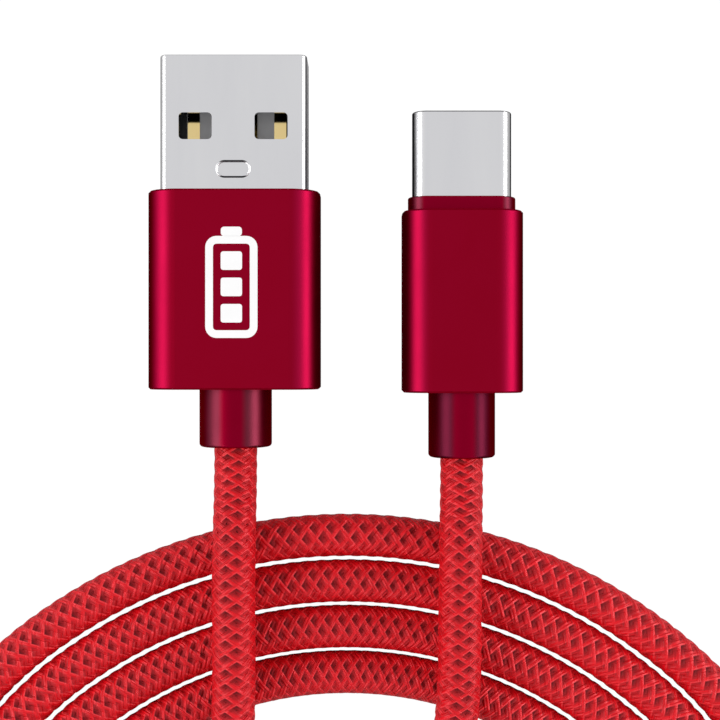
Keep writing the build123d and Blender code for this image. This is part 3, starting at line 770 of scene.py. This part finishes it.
def strand(lie, number, way):
    # one strand's rings of points, how high each point lies in the braid, and its place in the weave
    at, place, heading, up, right = lie
    lay = np.interp(at / millimetre, braidSet["layAt"], braidSet["layBy"])
    turn = np.cumsum(2 * math.pi * (at[1] - at[0]) / millimetre / lay)
    angle = way * turn + (number + braidSet["firstStrand"]) * 4 * math.pi / braidSet["carriers"]
    wave = way * np.sin(angle * braidSet["carriers"] / 2)
    wave = np.tanh(braidSet["squareness"] * wave) / math.tanh(braidSet["squareness"])
    twist = np.interp(at / millimetre, braidSet["turnAt"], np.radians(braidSet["turnBy"]))
    lean = np.arctan(2 * math.pi * braidSet["middle"] / lay)
    room = 4 * math.pi * braidSet["middle"] / braidSet["carriers"] * np.cos(lean)
    under, over = braidSet["fill"]
    outline = np.array(braidSet["outline"])
    side = np.outer(room * (under + (over - under) * np.clip(wave, 0, 1)), outline[:, 0])
    around = angle[:, None] + side * np.cos(lean)[:, None] / braidSet["middle"]
    forward = -way * side * np.sin(lean)[:, None]
    facing = np.interp(at / millimetre, braidSet["facingAt"], braidSet["facingBy"])[:, None]
    turned = turn[:, None] + forward * 2 * math.pi / lay[:, None]
    weave = weaveAt(around, turned, facing)
    radius = braidSet["middle"] + braidSet["swing"] * wave[:, None] + braidSet["halfThickness"] * outline[:, 1]
    radius = radius - braidSet["pitDepth"] * pitsAt(weave)
    around = around + twist[:, None]
    points = (place[:, None] + heading[:, None] * forward[..., None] * millimetre
              + up[:, None] * (radius * np.cos(around))[..., None] * millimetre
              + right[:, None] * (radius * np.sin(around))[..., None] * millimetre)
    lift = (radius - cordSet["coreRadius"]) / (cordSet["diameter"] / 2 - cordSet["coreRadius"])
    return points, np.clip(lift, 0, 1), weave


def strandMesh(name, strands, at):
    # strands as one mesh, with a map along each strand and a map in rows for baking
    rings, sides = strands[0][0].shape[:2]
    faces, along, packed, lifts, weaves, places = [], [], [], [], [], []
    edge = np.append(np.array(braidSet["outline"])[:, 2], 1.0)
    k, j = np.meshgrid(np.arange(rings - 1), np.arange(sides), indexing="ij")
    k, j = k.ravel(), j.ravel()
    rows, (endMargin, sideMargin) = braidSet["bakeRows"], braidSet["bakeMargin"]
    perRow = math.ceil((rings - 1) / rows)
    for number, (points, lift, weave) in enumerate(strands):
        base = number * rings * sides
        after = (j + 1) % sides
        quad = np.stack([k * sides + j, k * sides + after, (k + 1) * sides + after, (k + 1) * sides + j], axis=1)
        faces += (quad + base).tolist()
        ringOf = np.stack([k, k, k + 1, k + 1], axis=1)
        edgeOf = np.stack([edge[j], edge[j + 1], edge[j + 1], edge[j]], axis=1)
        along.append(np.stack([at[ringOf] / millimetre + braidSet["mapStep"] * number, edgeOf], axis=2))
        row = k[:, None] // perRow
        u = (ringOf - row * perRow) / perRow * (1 - 2 * endMargin) + endMargin
        v = (number * rows + row + sideMargin + (1 - 2 * sideMargin) * edgeOf) / (rows * len(strands))
        packed.append(np.stack([u, v], axis=2))
        places.append(points.reshape(-1, 3))
        lifts.append(lift.ravel())
        weaves.append(weave.ravel())
    quads = len(faces)
    for number in range(len(strands)):
        base = number * rings * sides
        faces.append(list(range(base + sides - 1, base - 1, -1)))
        faces.append(list(range(base + (rings - 1) * sides, base + rings * sides)))
    mesh = bpy.data.meshes.new(name)
    mesh.from_pydata(np.concatenate(places).tolist(), [], faces)
    for label, values in (("alongStrand", along), ("OFBake", packed)):
        layer = mesh.uv_layers.new(name=label)
        flat = np.zeros((len(mesh.loops), 2))
        flat[: quads * 4] = np.concatenate(values).reshape(-1, 2)
        layer.data.foreach_set("uv", flat.ravel())
    lifted = mesh.attributes.new("lift", "FLOAT", "POINT")
    lifted.data.foreach_set("value", np.concatenate(lifts))
    woven = mesh.attributes.new("weave", "FLOAT_VECTOR", "POINT")
    woven.data.foreach_set("vector", np.concatenate(weaves))
    mesh.polygons.foreach_set("use_smooth", [True] * len(mesh.polygons))
    mesh.update()
    piece = bpy.data.objects.new(name, mesh)
    scene.collection.objects.link(piece)
    return piece


def makeFilamentGroup(look):
    # fine threads along a strand, from its own map
    group, start, end = newGroup(
        "filaments",
        [("Vector", "NodeSocketVector", None), ("Threads", "NodeSocketFloat", 5.0)],
        [("Thread", "NodeSocketFloat"), ("Streak", "NodeSocketFloat")],
    )
    link = group.links.new
    stretch = group.nodes.new("ShaderNodeVectorMath")
    stretch.operation = "MULTIPLY"
    stretch.inputs[1].default_value = look["stretch"]
    streak = group.nodes.new("ShaderNodeTexNoise")
    streak.inputs["Scale"].default_value = 1.0
    streak.inputs["Detail"].default_value = look["detail"]
    parts = group.nodes.new("ShaderNodeSeparateXYZ")
    link(start.outputs["Vector"], stretch.inputs[0])
    link(stretch.outputs[0], streak.inputs["Vector"])
    link(start.outputs["Vector"], parts.inputs[0])
    # the upper side of a strand's outline ends at its last point but one
    upperSide = braidSet["outline"][-2][2]
    full = mathNode(group, "MULTIPLY", parts.outputs["Y"], 2 * math.pi / upperSide)
    count = mathNode(group, "MULTIPLY", full, start.outputs["Threads"])
    wave = mathNode(group, "SINE", mathNode(group, "MULTIPLY_ADD", streak.outputs["Fac"], look["drift"], count))
    link(rangeOf(group, wave, (-1.0, 1.0)), end.inputs["Thread"])
    link(rangeOf(group, streak.outputs["Fac"], look["streaksFrom"]), end.inputs["Streak"])
    return group


def makePitGroup(look):
    # painted shade in diamond pits between four strands, darker at one end, and a painted highlight rim behind that end
    group, start, end = newGroup(
        "weavePits",
        [("Vector", "NodeSocketVector", None), ("Reach", "NodeSocketFloat", 0.40),
         ("Softness", "NodeSocketFloat", 0.08), ("Rim", "NodeSocketFloat", 0.10)],
        [("Pit", "NodeSocketFloat"), ("Rim", "NodeSocketFloat")],
    )

    def sumOf(operation, *values, clamp=False):
        return mathNode(group, operation, *values, clamp=clamp)

    parts = group.nodes.new("ShaderNodeSeparateXYZ")
    group.links.new(start.outputs["Vector"], parts.inputs[0])
    offsets = [sumOf("SUBTRACT", sumOf("FRACT", parts.outputs[axis]), 0.5) for axis in ("X", "Y")]
    distance = sumOf("MAXIMUM", *[sumOf("ABSOLUTE", offset) for offset in offsets])
    past = sumOf("SUBTRACT", start.outputs["Reach"], distance)
    inside = sumOf("DIVIDE", past, start.outputs["Softness"], clamp=True)
    along = sumOf("MULTIPLY", sumOf("SUBTRACT", offsets[1], offsets[0]), sumOf("SIGN", parts.outputs["Z"]))
    tilt = sumOf("ADD", sumOf("MULTIPLY", along, look["pitShadeFall"]), look["pitShadeMiddle"], clamp=True)
    strength = sumOf("ABSOLUTE", parts.outputs["Z"])
    group.links.new(sumOf("MULTIPLY", sumOf("MULTIPLY", inside, tilt), strength), end.inputs["Pit"])
    near = sumOf("ADD", sumOf("DIVIDE", past, start.outputs["Rim"]), 1.0, clamp=True)
    edge = sumOf("MULTIPLY", near, sumOf("SUBTRACT", 1.0, inside))
    ahead = sumOf("MULTIPLY", along, look["rimHighlightGain"], clamp=True)
    group.links.new(sumOf("MULTIPLY", edge, ahead), end.inputs["Rim"])
    return group


def braidMaterial(name, look):
    material, tree, shader = principled(name, 0.0)
    shader.inputs["Specular IOR Level"].default_value = look["specular"]
    shader.inputs["Specular Tint"].default_value = (*look["shine"], 1)
    link = tree.links.new
    strandMap = tree.nodes.new("ShaderNodeUVMap")
    strandMap.uv_map = "alongStrand"
    threads = groupNode(tree, makeFilamentGroup(look), {"Threads": look["filaments"]})
    lift, weave = tree.nodes.new("ShaderNodeAttribute"), tree.nodes.new("ShaderNodeAttribute")
    lift.attribute_name, weave.attribute_name = "lift", "weave"
    pits = groupNode(tree, makePitGroup(look), {
        "Reach": braidSet["pitReach"], "Softness": look["pitSoftness"], "Rim": look["rimHighlightReach"]})
    link(strandMap.outputs["UV"], threads.inputs["Vector"])
    link(weave.outputs["Vector"], pits.inputs["Vector"])
    streak, pitShade = threads.outputs["Streak"], pits.outputs["Pit"]
    colour = mixOf(tree, streak, look["deep"], look["light"])
    # painted shade where a strand lies low
    colour = mixOf(tree, rangeOf(tree, lift.outputs["Fac"], look["rise"]), look["gap"], colour)
    # painted highlight on the pits' rims
    colour = mixOf(tree, mathNode(tree, "MULTIPLY", pits.outputs["Rim"], look["rimHighlightShare"]), colour, look["rim"])
    # painted shade in the pits, darker at one end
    link(mixOf(tree, pitShade, colour, look["pitShade"]), shader.inputs["Base Color"])
    gloss = rangeOf(tree, streak, onto=look["roughness"])
    link(mathNode(tree, "MULTIPLY_ADD", pitShade, look["pitRoughness"], gloss), shader.inputs["Roughness"])
    bumped(tree, shader, mathNode(tree, "ADD", threads.outputs["Thread"], streak), look["bump"])
    return material


cordCore = curveFrom("cordCore", cordRoute(), cordSet["coreRadius"])
cordLine = routeLine(cordCore)
cordLength = float(np.linalg.norm(np.diff(cordLine, axis=0), axis=1).sum())
print("cord line:", len(cordLine), "places,", round(cordLength / millimetre, 1), "mm")
cordCore.data.materials.append(materials["darkJacket"])

lie = alongLine(cordLine, braidSet["ringSpacing"] * millimetre, braidSet["tuck"] * millimetre)
nylon = braidMaterial("braidNylon", braidLook)
perPiece = braidSet["carriers"] // braidSet["pieces"]
for number in range(braidSet["pieces"]):
    way = 1 if number % 2 else -1
    first = number // 2 * perPiece
    strands = [strand(lie, first + i, way) for i in range(perPiece)]
    piece = strandMesh(f"braidStrands_{number + 1}", strands, lie[0])
    piece.data.materials.append(nylon)
    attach(piece, "root")

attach(cordCore, "root")
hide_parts("cord_tail_a", "cord_tail_c", "cord_coil")
